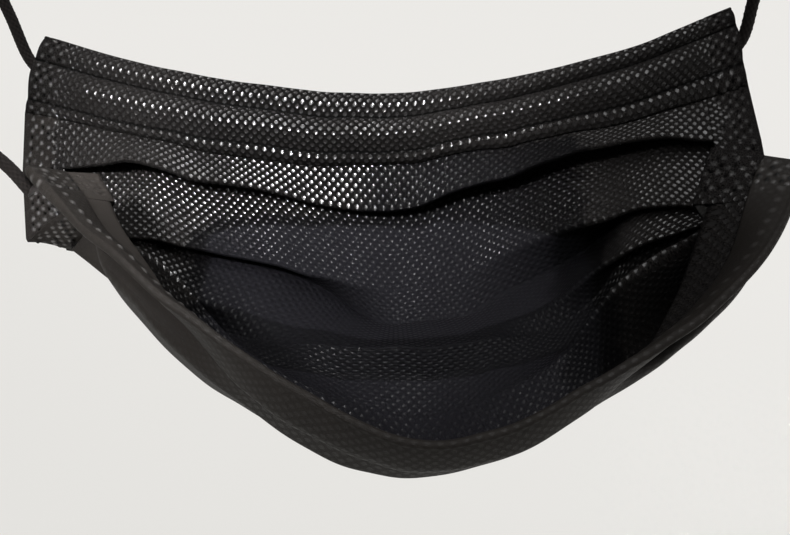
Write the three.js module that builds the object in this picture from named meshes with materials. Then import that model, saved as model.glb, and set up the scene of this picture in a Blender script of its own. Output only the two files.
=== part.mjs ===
// Pleated face mask hanging by its ear loops, inner face up, opened into a basin.
// Millimetres, +Z up, the wearer's side faces up and toward -Y.
import * as THREE from 'three';

// ---- driving sizes ----
const CLOTH = 1.0;            // three thin layers pressed together
const LAYER = 1.3;            // from one pleat layer to the next, middle to middle
const GAP = 0.35;             // left between pieces that are not one piece
const HALF_FLAT = 87.5;       // half the width of the flat mask
const SEAM_WIDE = 9;          // welded strip at each side
const SEAM_THICK = 1.6;       // all the pleat layers pressed flat
const HEM = 0.7;              // binding cloth, one folded layer
const WIRE_WIDE = 3.6;
const WIRE_THICK = 0.7;
const WIRE_HALF = 52;         // half the nose wire's length
const CORD_WIDE = 2.8;        // round elastic of the ear loops
const WELD_WIDE = 5.2;        // flattened spot where a cord is fixed
const WELD_THICK = 1.0;

// The two loops hang level; the origin lies halfway between their tops.
// Everything below is measured from the middle of the far edge.
const HANG = { x: 2, y: -12, z: 84 };

// ---- the cloth, one row per fold line, seven stations from left seam to right seam ----
const STATIONS = [-87.5, -60, -30, 0, 30, 60, 87.5];
const LINES = {
  farEdge:   [[-83, 12, 11], [-58, 6, 6], [-30, 2, 2], [-1, 0, 0], [27, 0, 3], [55, 4, 8], [78, 14, 13]],
  hemSeam:   [[-85, 7, 7], [-59, 1, 2], [-31, -3, -2], [-2, -5, -4], [26, -3, -1], [55, 1, 5], [79, 11, 10]],
  wireSeam:  [[-86, 0, 0], [-60, -6, -4], [-31, -9, -8], [-2, -10, -10], [27, -8, -6], [55, -5, -1], [80, 4, 4]],
  hemEdge:   [[-86, -3, -2], [-59, -7, -6], [-31, -10, -11], [-2, -10, -13], [27, -9, -9], [56, -7, -4], [81, 1, 0]],
  pleat1:    [[-85, -14, -12], [-58, -15, -10], [-30, -15, -16], [-1, -12, -25], [27, -12, -15.5], [55, -13, -6], [82, -12, -7]],
  pleat2:    [[-82, -27, -23], [-56, -24, -24], [-27, -21, -33], [2, -24, -38], [30, -20, -29], [58, -24, -16], [84, -25, -19]],
  pleat3:    [[-76, -27, -18], [-58, -28, -28], [-31, -37, -38], [5, -45, -40], [33, -37, -37], [52, -31, -23], [81, -25, -15]],
  underFold: [[-75, -28, -19], [-54, -43, -25], [-29, -47, -38], [6, -52, -40], [36, -45, -37], [59, -33, -34], [82, -25, -16]],
  ridge:     [[-70, -27, -14], [-45, -40, -17], [-24, -55, -31], [7, -62, -38], [35, -55, -33], [51, -40, -21], [78, -24, -11]],
  belly:     [[-65, -26, -10], [-49, -54.5, -15], [-22, -77, -25], [13, -88.5, -29], [42, -75, -26], [73, -54, -19], [84, -30, -9]],
  nearFold:  [[-61, -24, -7], [-46, -46, -13], [-19, -78, -18], [14, -91, -23], [42, -78, -20], [60, -50, -20], [72, -24, -2]],
  nearEdge:  [[-72, -35, 0], [-44, -62, -1], [-17, -79, -11], [14, -92, -17], [42, -80, -14], [69, -60, -6], [86, -29, -3]],
};

// How far each pleat has been pulled open at the same stations: 0 closed, 1 flat.
const OPEN = {
  pleat1: [0, 0.12, 0.30, 1, 0.85, 0.15, 0],
  pleat2: [0, 0.05, 0.35, 1, 0.80, 0.08, 0],
  pleat3: [0, 0.10, 0.90, 1, 0.90, 0.10, 0],
};
// How deep each pleat tucks under; the third is short where the side is folded over itself.
const TUCK = {
  pleat1: [9, 10, 10, 8, 9, 10, 9],
  pleat2: [7, 9, 9, 7, 8, 9, 7],
  pleat3: [2, 5, 7, 7, 7, 5, 2],
};

// ---- ear loops, from the far corner over the top to the near corner ----
const LOOPS = {
  left:  [[-81, 9, 1], [-86.5, 7, 4], [-90, 9, 18], [-95, 11, 40], [-101, 8, 62], [-107, -2, 79],
          [-111, -15, 84], [-111, -28, 74], [-105, -36, 54], [-95, -39, 32], [-84, -39, 13], [-75, -38, 1.5]],
  right: [[75, 10, 1], [81.5, 8, 5], [84, 10, 18], [89, 12, 40], [96, 9, 62], [106, -1, 79],
          [112, -14, 84], [114, -27, 74], [110, -34, 54], [103, -36, 32], [95, -34, 13], [90, -31, 0]],
};
// Where the cord ends are flattened on the outer face: station, line pair and share between them.
const WELDS = {
  far_left:   { across: -83.5, from: 'hemSeam', to: 'wireSeam', share: 0.35 },
  near_left:  { across: -83.5, from: 'nearFold', to: 'nearEdge', share: 0.80 },
  far_right:  { across: 83.5, from: 'hemSeam', to: 'wireSeam', share: 0.35 },
  near_right: { across: 83.5, from: 'nearFold', to: 'nearEdge', share: 0.80 },
};

// ---- small vector helpers ----
const add = (a, b, s = 1) => [a[0] + b[0] * s, a[1] + b[1] * s, a[2] + b[2] * s];
const sub = (a, b) => add(a, b, -1);
const len = (a) => Math.hypot(a[0], a[1], a[2]);
const unit = (a) => { const l = len(a) || 1; return [a[0] / l, a[1] / l, a[2] / l]; };
const cross = (a, b) => [a[1] * b[2] - a[2] * b[1], a[2] * b[0] - a[0] * b[2], a[0] * b[1] - a[1] * b[0]];
const mix = (a, b, t) => add(a, sub(b, a), t);
const fromHang = (p) => [p[0] - HANG.x, p[1] - HANG.y, p[2] - HANG.z];

// Smooth curve through the values at the stations.
function across(values, u) {
  const s = STATIONS;
  let k = 0;
  while (k < s.length - 2 && u > s[k + 1]) k += 1;
  const slope = (i) => {
    const a = Math.max(i - 1, 0);
    const b = Math.min(i + 1, s.length - 1);
    return (values[b] - values[a]) / (s[b] - s[a]);
  };
  const h = s[k + 1] - s[k];
  const t = (u - s[k]) / h;
  const t2 = t * t;
  const t3 = t2 * t;
  return values[k] * (2 * t3 - 3 * t2 + 1) + slope(k) * h * (t3 - 2 * t2 + t)
    + values[k + 1] * (3 * t2 - 2 * t3) + slope(k + 1) * h * (t3 - t2);
}
const onLine = (name, u) => [0, 1, 2].map((axis) => across(LINES[name].map((p) => p[axis]), u));
const along = (name, u) => unit(sub(onLine(name, u + 2), onLine(name, u - 2)));

// One pleat: edge, turn, hidden layer, turn back, next panel.
function pleatTurn(name, u, previous) {
  const edge = onLine(name, u);
  const down = unit(sub(edge, previous));
  const face = unit(cross(down, along(name, u)));
  const open = Math.min(1, Math.max(0, across(OPEN[name], u)));
  const half = (Math.PI / 2) * open;
  const turn = add([0, 0, 0].map((_, i) => down[i] * Math.sin(half)), face, -Math.cos(half));
  const back = [0, 1, 2].map((i) => -down[i] * Math.cos(2 * half) - face[i] * Math.sin(2 * half));
  const b = add(edge, turn, LAYER);
  const c = add(b, back, across(TUCK[name], u));
  return [edge, b, c, add(c, turn, LAYER)];
}

// The cloth's path from far edge to near edge at one station: points with bend radius and arc steps.
function section(u) {
  const path = [];
  const put = (p, radius = 0, steps = 0) => path.push({ p, radius, steps });
  put(onLine('farEdge', u));
  put(onLine('hemSeam', u));
  put(onLine('wireSeam', u));
  put(onLine('hemEdge', u));
  let previous = onLine('hemEdge', u);
  for (const name of ['pleat1', 'pleat2', 'pleat3']) {
    const turns = pleatTurn(name, u, previous);
    for (const p of turns) put(p, LAYER / 2, 2);
    previous = turns[3];
  }
  put(onLine('underFold', u), 1.5, 3);
  put(onLine('ridge', u), 1.0, 3);
  put(onLine('belly', u), 2.0, 3);
  put(onLine('nearFold', u), 1.5, 3);
  put(mix(onLine('nearFold', u), onLine('nearEdge', u), 0.5));
  put(onLine('nearEdge', u));
  return path;
}

// Round the bends; every station gives the same number of points.
function rounded(path) {
  const out = [];
  path.forEach(({ p, radius, steps }, i) => {
    if (!steps) { out.push(p); return; }
    const before = sub(path[i - 1].p, p);
    const after = sub(path[i + 1].p, p);
    const a = unit(before);
    const b = unit(after);
    const cosine = Math.max(-0.999, Math.min(0.999, a[0] * b[0] + a[1] * b[1] + a[2] * b[2]));
    const reach = Math.min(radius / Math.tan(Math.acos(cosine) / 2), 0.44 * len(before), 0.44 * len(after));
    for (let k = 0; k <= steps; k += 1) {
      const t = k / steps;
      out.push(mix(mix(add(p, a, reach), p, t), mix(p, add(p, b, reach), t), t));
    }
  });
  return out;
}

// A closed sheet of even thickness; column(u) gives its middle points at one station.
function sheetGeometry(stations, column, thickness) {
  const grid = stations.map(column);
  const cols = grid.length;
  const rows = grid[0].length;
  const points = [[], []];
  stations.forEach((u, i) => {
    const left = column(u - 0.5);
    const right = column(u + 0.5);
    grid[i].forEach((p, j) => {
      const v = sub(grid[i][Math.min(j + 1, rows - 1)], grid[i][Math.max(j - 1, 0)]);
      const normal = unit(cross(v, sub(right[j], left[j])));
      points[0].push(...fromHang(add(p, normal, thickness / 2)));
      points[1].push(...fromHang(add(p, normal, -thickness / 2)));
    });
  });
  const at = (side, i, j) => side * cols * rows + i * rows + j;
  const index = [];
  const quad = (a, b, c, d) => index.push(a, b, c, a, c, d);
  for (let i = 0; i < cols - 1; i += 1) {
    for (let j = 0; j < rows - 1; j += 1) {
      quad(at(0, i, j), at(0, i, j + 1), at(0, i + 1, j + 1), at(0, i + 1, j));
      quad(at(1, i, j), at(1, i + 1, j), at(1, i + 1, j + 1), at(1, i, j + 1));
    }
    quad(at(0, i, 0), at(0, i + 1, 0), at(1, i + 1, 0), at(1, i, 0));
    quad(at(0, i, rows - 1), at(1, i, rows - 1), at(1, i + 1, rows - 1), at(0, i + 1, rows - 1));
  }
  for (let j = 0; j < rows - 1; j += 1) {
    quad(at(0, 0, j), at(1, 0, j), at(1, 0, j + 1), at(0, 0, j + 1));
    quad(at(0, cols - 1, j), at(0, cols - 1, j + 1), at(1, cols - 1, j + 1), at(1, cols - 1, j));
  }
  const geometry = new THREE.BufferGeometry();
  geometry.setAttribute('position', new THREE.Float32BufferAttribute(points.flat(), 3));
  geometry.setIndex(index);
  return geometry;
}

const spread = (from, to, count) => Array.from({ length: count }, (_, i) => from + ((to - from) * i) / (count - 1));

function clothGeometry(from, to, columns) {
  return sheetGeometry(spread(from, to, columns), (u) => rounded(section(u)), CLOTH);
}

// The welded side: one flat stack of layers, bent in a Z from far corner to near corner.
function seamGeometry(from, to) {
  const bend = (name, radius) => ({ name, radius, steps: radius ? 3 : 0 });
  const stops = [bend('farEdge', 0), bend('hemSeam', 0), bend('wireSeam', 0), bend('hemEdge', 0), bend('pleat1', 0),
    bend('pleat2', 1.5), bend('ridge', 0), bend('nearFold', 1.5), bend('nearEdge', 0)];
  const path = (u) => rounded(stops.map(({ name, radius, steps }) => ({ p: onLine(name, u), radius, steps })));
  return sheetGeometry(spread(from, to, 4), path, SEAM_THICK);
}

// Strip lying over the cloth between fold lines; puff lifts it clear of the cloth along the way.
function stripGeometry(from, to, columns, stops, thickness) {
  return sheetGeometry(spread(from, to, columns), (u) => stops.map(({ a, b, share, puff }) => {
    const p = mix(onLine(a, u), onLine(b, u), share);
    const down = unit(sub(onLine(b, u), onLine(a, u)));
    return add(p, unit(cross(down, along(a, u))), puff);
  }), thickness);
}

const group = new THREE.Group();
function piece(name, geometry, colour, roughness) {
  geometry.computeVertexNormals();
  const mesh = new THREE.Mesh(geometry, new THREE.MeshStandardMaterial({ color: colour, roughness }));
  mesh.name = name;
  group.add(mesh);
}

const SEAM_AT = HALF_FLAT - SEAM_WIDE;
const SEAM_GAP = 0.8;         // clear of the welded strip at each side
piece('mask_body', clothGeometry(-SEAM_AT + SEAM_GAP, SEAM_AT - SEAM_GAP, 27), 0x2c2a2a, 0.8);
piece('side_seam_left', seamGeometry(-HALF_FLAT, -SEAM_AT), 0x262424, 0.7);
piece('side_seam_right', seamGeometry(SEAM_AT, HALF_FLAT), 0x262424, 0.7);

// Binding folded over the far edge, puffed along the nose wire.
const over = SEAM_THICK / 2 + GAP + HEM / 2;
piece('top_hem', stripGeometry(-HALF_FLAT + 0.5, HALF_FLAT - 0.5, 23, [
  { a: 'farEdge', b: 'hemSeam', share: 0.02, puff: over },
  { a: 'farEdge', b: 'hemSeam', share: 0.6, puff: over + 0.2 },
  { a: 'hemSeam', b: 'wireSeam', share: 0.02, puff: over },
  { a: 'hemSeam', b: 'wireSeam', share: 0.25, puff: over + WIRE_THICK + 0.9 },
  { a: 'hemSeam', b: 'wireSeam', share: 0.75, puff: over + WIRE_THICK + 0.9 },
  { a: 'wireSeam', b: 'hemEdge', share: 0.02, puff: over },
  { a: 'wireSeam', b: 'hemEdge', share: 0.95, puff: over + 0.1 },
], HEM), 0x2f2d2c, 0.75);

const wireHalf = WIRE_WIDE / 16;
piece('nose_wire', stripGeometry(-WIRE_HALF, WIRE_HALF, 17, [
  { a: 'hemSeam', b: 'wireSeam', share: 0.5 - wireHalf, puff: SEAM_THICK / 2 + GAP + WIRE_THICK / 2 },
  { a: 'hemSeam', b: 'wireSeam', share: 0.5 + wireHalf, puff: SEAM_THICK / 2 + GAP + WIRE_THICK / 2 },
], WIRE_THICK), 0x8a8a88, 0.4);

// Binding folded over the near edge.
piece('bottom_hem', stripGeometry(-HALF_FLAT + 0.5, HALF_FLAT - 0.5, 23, [
  { a: 'nearFold', b: 'nearEdge', share: 0.42, puff: over },
  { a: 'nearFold', b: 'nearEdge', share: 0.7, puff: over + 0.2 },
  { a: 'nearFold', b: 'nearEdge', share: 0.98, puff: over },
], HEM), 0x2f2d2c, 0.75);

// Ear loops: round elastic swept along a smooth route.
function cordGeometry(route) {
  const curve = new THREE.CatmullRomCurve3(route.map((p) => new THREE.Vector3(...fromHang(p))), false, 'centripetal');
  const ring = new THREE.Shape();
  for (let k = 0; k < 8; k += 1) {
    const angle = (k / 8) * Math.PI * 2;
    const x = (CORD_WIDE / 2) * Math.cos(angle);
    const y = (CORD_WIDE / 2) * Math.sin(angle);
    if (k === 0) ring.moveTo(x, y); else ring.lineTo(x, y);
  }
  ring.closePath();
  return new THREE.ExtrudeGeometry(ring, { steps: 34, extrudePath: curve, bevelEnabled: false, curveSegments: 1 });
}
piece('ear_loop_left', cordGeometry(LOOPS.left), 0x1d1c1c, 0.85);
piece('ear_loop_right', cordGeometry(LOOPS.right), 0x1d1c1c, 0.85);

// Flattened cord ends on the outer face.
for (const [name, { across: u, from, to, share }] of Object.entries(WELDS)) {
  const at = (v) => mix(onLine(from, v), onLine(to, v), share);
  const centre = at(u);
  const outward = unit(cross(sub(at(u + 2), at(u - 2)), sub(onLine(to, u), onLine(from, u))));
  const spot = new THREE.CylinderGeometry(WELD_WIDE / 2, WELD_WIDE / 2 - 0.4, WELD_THICK, 16);
  spot.applyQuaternion(new THREE.Quaternion().setFromUnitVectors(new THREE.Vector3(0, 1, 0), new THREE.Vector3(...outward)));
  spot.translate(...fromHang(add(centre, outward, SEAM_THICK / 2 + 2 * GAP + WELD_THICK / 2)));
  piece(`loop_weld_${name}`, spot, 0x1d1c1c, 0.6);
}

export default group;
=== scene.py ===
# Black disposable face mask hanging by its ear loops, inner face up.
import math

import bpy
import numpy as np
from mathutils import Matrix, Vector


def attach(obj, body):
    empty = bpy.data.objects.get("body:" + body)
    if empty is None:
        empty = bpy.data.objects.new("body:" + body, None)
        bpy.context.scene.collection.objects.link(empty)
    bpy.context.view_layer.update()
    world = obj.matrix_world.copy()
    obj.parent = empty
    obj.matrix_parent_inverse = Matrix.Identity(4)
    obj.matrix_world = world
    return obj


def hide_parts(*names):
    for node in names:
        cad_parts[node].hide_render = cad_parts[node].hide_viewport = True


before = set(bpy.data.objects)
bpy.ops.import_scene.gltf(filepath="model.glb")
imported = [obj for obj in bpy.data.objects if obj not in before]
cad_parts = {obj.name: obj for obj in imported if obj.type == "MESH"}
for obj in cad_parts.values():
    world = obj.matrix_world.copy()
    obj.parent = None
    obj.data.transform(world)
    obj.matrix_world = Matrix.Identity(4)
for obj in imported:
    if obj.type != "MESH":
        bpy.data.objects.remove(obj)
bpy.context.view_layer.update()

mm = 0.001
hang = np.array((2.0, -12.0, 84.0))  # from the middle of the far edge up to the origin


def fromHang(points):
    # points in millimetres from the far edge's middle, as metres from the origin
    return (np.asarray(points, float) - hang) * mm


def unit(v):
    return v / np.maximum(np.linalg.norm(v, axis=-1, keepdims=True), 1e-9)


def share(distance, over):
    # 0 up to the start, then rising to 1 over this distance
    return np.clip(distance / over, 0, 1)


def hump(u, middle, wide, power=2):
    # 1 at the middle, dying away to each side
    return np.exp(-((u - middle) / wide) ** power)


print("camera")
cameraSetup = {
    "place": (20.8, -177.7, 5.2),
    "pitch": 36.0,  # degrees below level
    "yaw": 7.0,  # turned to the left
    "roll": -4.0,
    "lens": 41.0,
    "sensor": 36.0,
    "nearest": 5.0,  # what is nearer than this is not drawn
}


def addCamera(values):
    pitch, yaw, roll = (math.radians(values[k]) for k in ("pitch", "yaw", "roll"))
    forward = Vector((-math.sin(yaw) * math.cos(pitch), math.cos(yaw) * math.cos(pitch), -math.sin(pitch)))
    level = Vector((math.cos(yaw), math.sin(yaw), 0))
    upright = level.cross(forward)
    right = level * math.cos(roll) + upright * math.sin(roll)
    up = upright * math.cos(roll) - level * math.sin(roll)
    bpy.ops.object.camera_add(location=Vector(values["place"]) * mm)
    camera = bpy.context.object
    camera.rotation_mode = "QUATERNION"
    camera.rotation_quaternion = Matrix((right, up, -forward)).transposed().to_quaternion()
    camera.data.lens = values["lens"]
    camera.data.sensor_width = values["sensor"]
    camera.data.clip_start = values["nearest"] * mm
    bpy.context.scene.camera = camera


addCamera(cameraSetup)


class Nodes:
    # adds and links the nodes of one material
    def __init__(self, name):
        self.material = bpy.data.materials.new(name)
        self.material.use_nodes = True
        self.tree = self.material.node_tree
        self.tree.nodes.clear()

    def add(self, kind, **settings):
        node = self.tree.nodes.new(kind)
        for key, value in settings.items():
            setattr(node, key, value)
        return node

    def feed(self, socket, value):
        if isinstance(value, bpy.types.NodeSocket):
            self.tree.links.new(value, socket)
        else:
            socket.default_value = value

    def math(self, operation, a, b=None, c=None):
        node = self.add("ShaderNodeMath", operation=operation)
        for socket, value in zip(node.inputs, (a, b, c)):
            if value is not None:
                self.feed(socket, value)
        return node.outputs[0]

    def product(self, first, *others):
        for other in others:
            first = self.math("MULTIPLY", first, other)
        return first

    def most(self, first, *others):
        # the largest of all
        for other in others:
            first = self.math("MAXIMUM", first, other)
        return first

    def rest(self, value):
        # what is left of 1
        return self.math("SUBTRACT", 1.0, value)

    def total(self, *weighted):
        # sum of (value, weight) pairs
        result = self.math("MULTIPLY", *weighted[0])
        for value, weight in weighted[1:]:
            result = self.math("MULTIPLY_ADD", value, weight, result)
        return result

    def ramp(self, value, low, high, outLow=0.0, outHigh=1.0):
        node = self.add("ShaderNodeMapRange", interpolation_type="SMOOTHSTEP")
        for socket, item in zip(node.inputs, (value, low, high, outLow, outHigh)):
            self.feed(socket, item)
        return node.outputs[0]

    def mixColour(self, factor, a, b):
        node = self.add("ShaderNodeMix", data_type="RGBA")
        self.feed(node.inputs[0], factor)
        self.feed(node.inputs[6], a)
        self.feed(node.inputs[7], b)
        return node.outputs[2]

    def noise(self, vector, scale, detail=2.0, roughness=0.5):
        node = self.add("ShaderNodeTexNoise")
        self.feed(node.inputs["Vector"], vector)
        self.feed(node.inputs["Scale"], scale)
        self.feed(node.inputs["Detail"], detail)
        self.feed(node.inputs["Roughness"], roughness)
        return node.outputs["Fac"]

    def split(self, vector):
        # its part along x and its part along y
        node = self.add("ShaderNodeSeparateXYZ")
        self.feed(node.inputs[0], vector)
        return node.outputs[0], node.outputs[1]

    def coordinates(self, kind):
        return self.add("ShaderNodeTexCoord").outputs[kind]

    def attribute(self, name):
        return self.add("ShaderNodeAttribute", attribute_name=name).outputs["Fac"]

    def finish(self, colour, roughness, height=None, strength=1.0, depth=0.2, **fixed):
        shader = self.add("ShaderNodeBsdfPrincipled")
        self.feed(shader.inputs["Base Color"], colour)
        self.feed(shader.inputs["Roughness"], roughness)
        for key, value in fixed.items():
            self.feed(shader.inputs[key.replace("_", " ")], value)
        if height is not None:
            bump = self.add("ShaderNodeBump")
            bump.inputs["Strength"].default_value = strength
            bump.inputs["Distance"].default_value = depth * mm
            self.feed(bump.inputs["Height"], height)
            self.feed(shader.inputs["Normal"], bump.outputs["Normal"])
            self.feed(shader.inputs["Coat Normal"], bump.outputs["Normal"])
        output = self.add("ShaderNodeOutputMaterial")
        self.tree.links.new(shader.outputs[0], output.inputs["Surface"])
        return self.material


def gridSheet(name, points, u, v, attributes):
    # a grid laid on rows and columns of points, with the cloth's own distances as its UV map
    rows, columns = points.shape[:2]
    bpy.ops.object.select_all(action="DESELECT")
    bpy.ops.mesh.primitive_grid_add(x_subdivisions=columns - 1, y_subdivisions=rows - 1, size=1,
                                    calc_uvs=True)
    sheet = bpy.context.object
    sheet.name = name
    mesh = sheet.data
    flat = np.zeros(len(mesh.vertices) * 3, np.float32)
    mesh.vertices.foreach_get("co", flat)
    flat = flat.reshape(-1, 3)
    ix = np.rint((flat[:, 0] + 0.5) * (columns - 1)).astype(int)
    iy = np.rint((0.5 - flat[:, 1]) * (rows - 1)).astype(int)
    mesh.vertices.foreach_set("co", fromHang(points[iy, ix]).astype(np.float32).ravel())
    corner = np.zeros(len(mesh.loops), np.int32)
    mesh.loops.foreach_get("vertex_index", corner)
    uv = np.stack([u[ix[corner]], v[iy[corner]]], axis=1) * mm
    mesh.uv_layers[0].data.foreach_set("uv", uv.astype(np.float32).ravel())
    for key, values in attributes.items():
        layer = mesh.attributes.new(key, "FLOAT", "POINT")
        layer.data.foreach_set("value", values[iy, ix].astype(np.float32))
    mesh.update()
    bpy.ops.object.shade_smooth()
    return sheet


def giveWall(sheet, thickness, materials):
    # with two materials, the second goes on the outer face
    for material in materials:
        sheet.data.materials.append(material)
    solid = sheet.modifiers.new("wall", "SOLIDIFY")
    solid.thickness = thickness * mm
    solid.offset = 0
    solid.use_even_offset = False
    solid.material_offset = len(materials) - 1
    bpy.ops.object.modifier_apply(modifier="wall")


def rowDistance(points):
    # distance of each row of points from the first, as an average of its columns
    steps = np.linalg.norm(np.diff(points, axis=0), axis=-1).mean(axis=1)
    return np.concatenate([[0], np.cumsum(steps)])


def place(piece, node):
    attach(piece, "root")
    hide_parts(node)


print("ear loops")
loopLook = {
    "width": 2.8,
    "strands": 8,  # strands round the cord, going each way
    "strandRise": 0.2,
    "strandTurn": 12.0,  # cord length of one turn of a strand
    "crossing": 3.0,  # how sharply one strand dips under another
    "ringGap": 0.3,
    "sides": 40,
    "colour": (0.0045, 0.0034, 0.0031, 1),
    "colourRaisedLit": (0.0145, 0.0115, 0.0105, 1),
    "fuzz": 4200.0,  # fineness of the fuzz
    "roughness": 0.75,
}
loopRoutes = {
    "left": [(-81.6, 6.8, 2.3), (-86, 7.2, 6), (-89, 9, 18), (-94, 11, 40), (-101, 8, 62),
             (-107, -2, 79), (-111, -15, 84), (-111, -28, 74), (-105, -36, 54), (-94.2, -38.6, 32.8),
             (-81.5, -37.9, 13.2), (-73.8, -36.8, 2.6), (-70.4, -37.4, -3.0)],
    "right": [(75.6, 8.2, 3.2), (79.8, 8.4, 7), (81.8, 10, 18), (87, 12, 40), (96, 9, 62),
              (106, -1, 79), (112, -14, 84), (114, -27, 74), (110, -34, 54), (103, -36, 32),
              (95, -34.5, 13), (88.6, -32.6, 1.2), (85.4, -32.4, -4.4)],
}


def between(first, second, start, end, t):
    return (first * (end - t) + second * (t - start)) / (end - start)


def smoothRoute(points, gap):
    # centripetal curve through the points, then even steps along it
    points = np.array(points, float)
    p = np.vstack([2 * points[0] - points[1], points, 2 * points[-1] - points[-2]])
    stepsEach = 24
    curve = []
    for i in range(1, len(p) - 2):
        near = p[i - 1:i + 3]
        k = np.concatenate([[0], np.cumsum(np.linalg.norm(np.diff(near, axis=0), axis=1) ** 0.5)])
        for t in np.linspace(k[1], k[2], stepsEach, endpoint=False):
            a = [between(near[j], near[j + 1], k[j], k[j + 1], t) for j in range(3)]
            b = [between(a[j], a[j + 1], k[j], k[j + 2], t) for j in range(2)]
            curve.append(between(b[0], b[1], k[1], k[2], t))
    curve = np.array(curve + [p[-2]])
    along = np.concatenate([[0], np.cumsum(np.linalg.norm(np.diff(curve, axis=0), axis=1))])
    even = np.linspace(0, along[-1], int(along[-1] / gap) + 1)
    return np.stack([np.interp(even, along, curve[:, axis]) for axis in range(3)], axis=1), even


def knittedElastic():
    nodes = Nodes("knittedElastic")
    fuzz = nodes.noise(nodes.coordinates("UV"), loopLook["fuzz"], 3.0, 0.7)
    raised = nodes.attribute("strand")
    # painted shade: the cord is coloured darker where its strands dip under one another and lighter on the
    # raised strands
    colour = nodes.mixColour(raised, loopLook["colour"], loopLook["colourRaisedLit"])
    height = nodes.total((fuzz, 0.7), (raised, 0.3))
    return nodes.finish(colour, loopLook["roughness"], height, 0.7, 0.12, Specular_IOR_Level=0.15,
                        Sheen_Weight=0.02, Sheen_Roughness=0.5)


def addLoop(name, route, values, material):
    # a round cord with crossing strands, closed at both ends
    path, along = smoothRoute(route, values["ringGap"])
    forward = unit(np.gradient(path, axis=0))
    sideways = unit(np.cross(forward, (0.3, 0.9, 0.1)))  # no part of the cord runs this way
    upward = np.cross(forward, sideways)
    angle = np.linspace(0, 2 * np.pi, values["sides"] + 1)
    turn = 2 * np.pi * along[:, None] * values["strands"] / values["strandTurn"]
    right = values["strands"] * angle[None, :] + turn
    left = values["strands"] * angle[None, :] - turn
    over = 0.5 + 0.5 * np.tanh(values["crossing"] * np.sin(right / 2) * np.sin(left / 2))
    weave = np.cos(right / 2) ** 2 * over + np.cos(left / 2) ** 2 * (1 - over)
    radius = values["width"] / 2 - values["strandRise"] * (1 - weave)
    ring = sideways[:, None] * np.cos(angle)[None, :, None] + upward[:, None] * np.sin(angle)[None, :, None]
    loop = gridSheet(name, path[:, None] + ring * radius[..., None], angle * values["width"] / 2, along,
                     {"strand": weave})
    loop.data.materials.append(material)
    bpy.ops.object.mode_set(mode="EDIT")
    bpy.ops.mesh.select_all(action="SELECT")
    bpy.ops.mesh.remove_doubles(threshold=0.01 * mm)
    bpy.ops.mesh.select_all(action="DESELECT")
    bpy.ops.mesh.select_mode(type="EDGE")
    bpy.ops.mesh.select_non_manifold()
    bpy.ops.mesh.fill_holes(sides=0)
    bpy.ops.mesh.select_all(action="SELECT")
    bpy.ops.mesh.normals_make_consistent(inside=False)
    bpy.ops.object.mode_set(mode="OBJECT")
    return loop, fromHang(path), along[-1] * mm


elastic = knittedElastic()
for side, route in loopRoutes.items():
    loop, path, long = addLoop(f"ear_loop_{side}_elastic", route, loopLook, elastic)
    place(loop, f"ear_loop_{side}")

# The fold lines down the cloth. Each has one point at every station across the flat cloth, from the left
# seam to the right one, in millimetres from the far edge's middle.
stations = np.array([-87.5, -60, -30, 0, 30, 60, 87.5])
foldLines = {
    "farEdge": [(-83.3, 11.3, 10.5), (-58.1, 5.3, 5.5), (-30.1, 1.3, 1.5), (-1.1, -0.7, -0.5),
                (26.9, -0.4, 2.5), (55, 3.6, 7.6), (78.1, 13.6, 12.6)],
    "hemSeam": [(-85, 7, 7), (-59, 1, 2), (-31, -3, -2), (-2, -5, -4),
                (26, -3, -1), (55, 1, 5), (79, 11, 10)],
    "wireSeam": [(-86, 0, 0), (-60, -6, -4), (-31, -9, -8), (-2, -10, -10),
                 (27, -8, -6), (55, -5, -1), (80, 4, 4)],
    "hemEdge": [(-86, -3, -2), (-59, -7, -6), (-31, -10, -11), (-2, -10, -13),
                (27, -9, -9), (56, -7, -4), (81, 1, 0)],
    "pleat1": [(-85, -14, -12), (-58, -15, -10), (-30, -16, -15.3), (-1, -18, -20.6),
               (27, -15.5, -13), (55, -13, -6), (82, -12, -7)],
    "pleat2": [(-82, -27, -23), (-56, -24, -24), (-27, -21, -33), (2, -24, -38),
               (30, -20, -29), (58, -24, -16), (84, -25, -19)],
    "pleat3": [(-76, -27, -18), (-58, -28, -28), (-31, -36, -37), (5, -43, -38),
               (33, -36, -36), (52, -31, -23), (81, -25, -15)],
    "underFold": [(-75, -28, -19), (-54, -43, -25), (-29, -49, -38), (6, -52, -40.5),
                  (36, -47, -38), (59, -33, -34), (82, -25, -16)],
    "ridge": [(-70, -27, -14), (-45, -40, -17), (-24, -55, -32), (7, -62, -41),
              (35, -55, -34), (51, -40, -21), (78, -24, -11)],
    "hollow": [(-67, -27, -13), (-49, -49, -29), (-24, -66, -36), (10, -76, -40),
               (39, -65, -37), (62, -42, -39.5), (81, -25, -12)],
    "belly": [(-65, -26, -10), (-49, -53.2, -13.6), (-22, -75.7, -23.2), (13, -88, -28.3),
              (42, -74.6, -25.4), (72, -51.5, -16.4), (84, -29, -8.4)],
    "nearFold": [(-61, -24, -7), (-46, -46, -13), (-19, -78, -18), (14, -91, -23),
                 (42, -78, -20), (58, -50, -20), (67.5, -23.5, -1.5)],
    "nearEdge": [(-70.8, -35, 1.0), (-44, -62, -1), (-17, -79, -11), (14, -92, -17),
                 (42, -80, -14), (69, -60, -6), (86, -29, -3)],
}
# Local moves of a fold line: where along it, how wide, and how far it moves.
foldMoves = {
    "pleat1": [(-61, 8, (0, 0.5, 1.3)), (-42, 9, (0, -0.2, -0.5)), (52, 12, (0, 0, 0.8))],
    "pleat2": [(-36, 8, (0, 0, -0.4)), (17, 9, (0, -0.5, -2.4)), (70, 7, (0, 0, 0.5)),
               (-76, 7, (0, 0, -3.0))],
    "nearEdge": [(-70, 10, (-1.2, 1.2, -0.8))],
    "belly": [(-66, 9, (-1.8, 0, 0)), (-13, 10, (0, -1, -1.8))],
}
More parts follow.
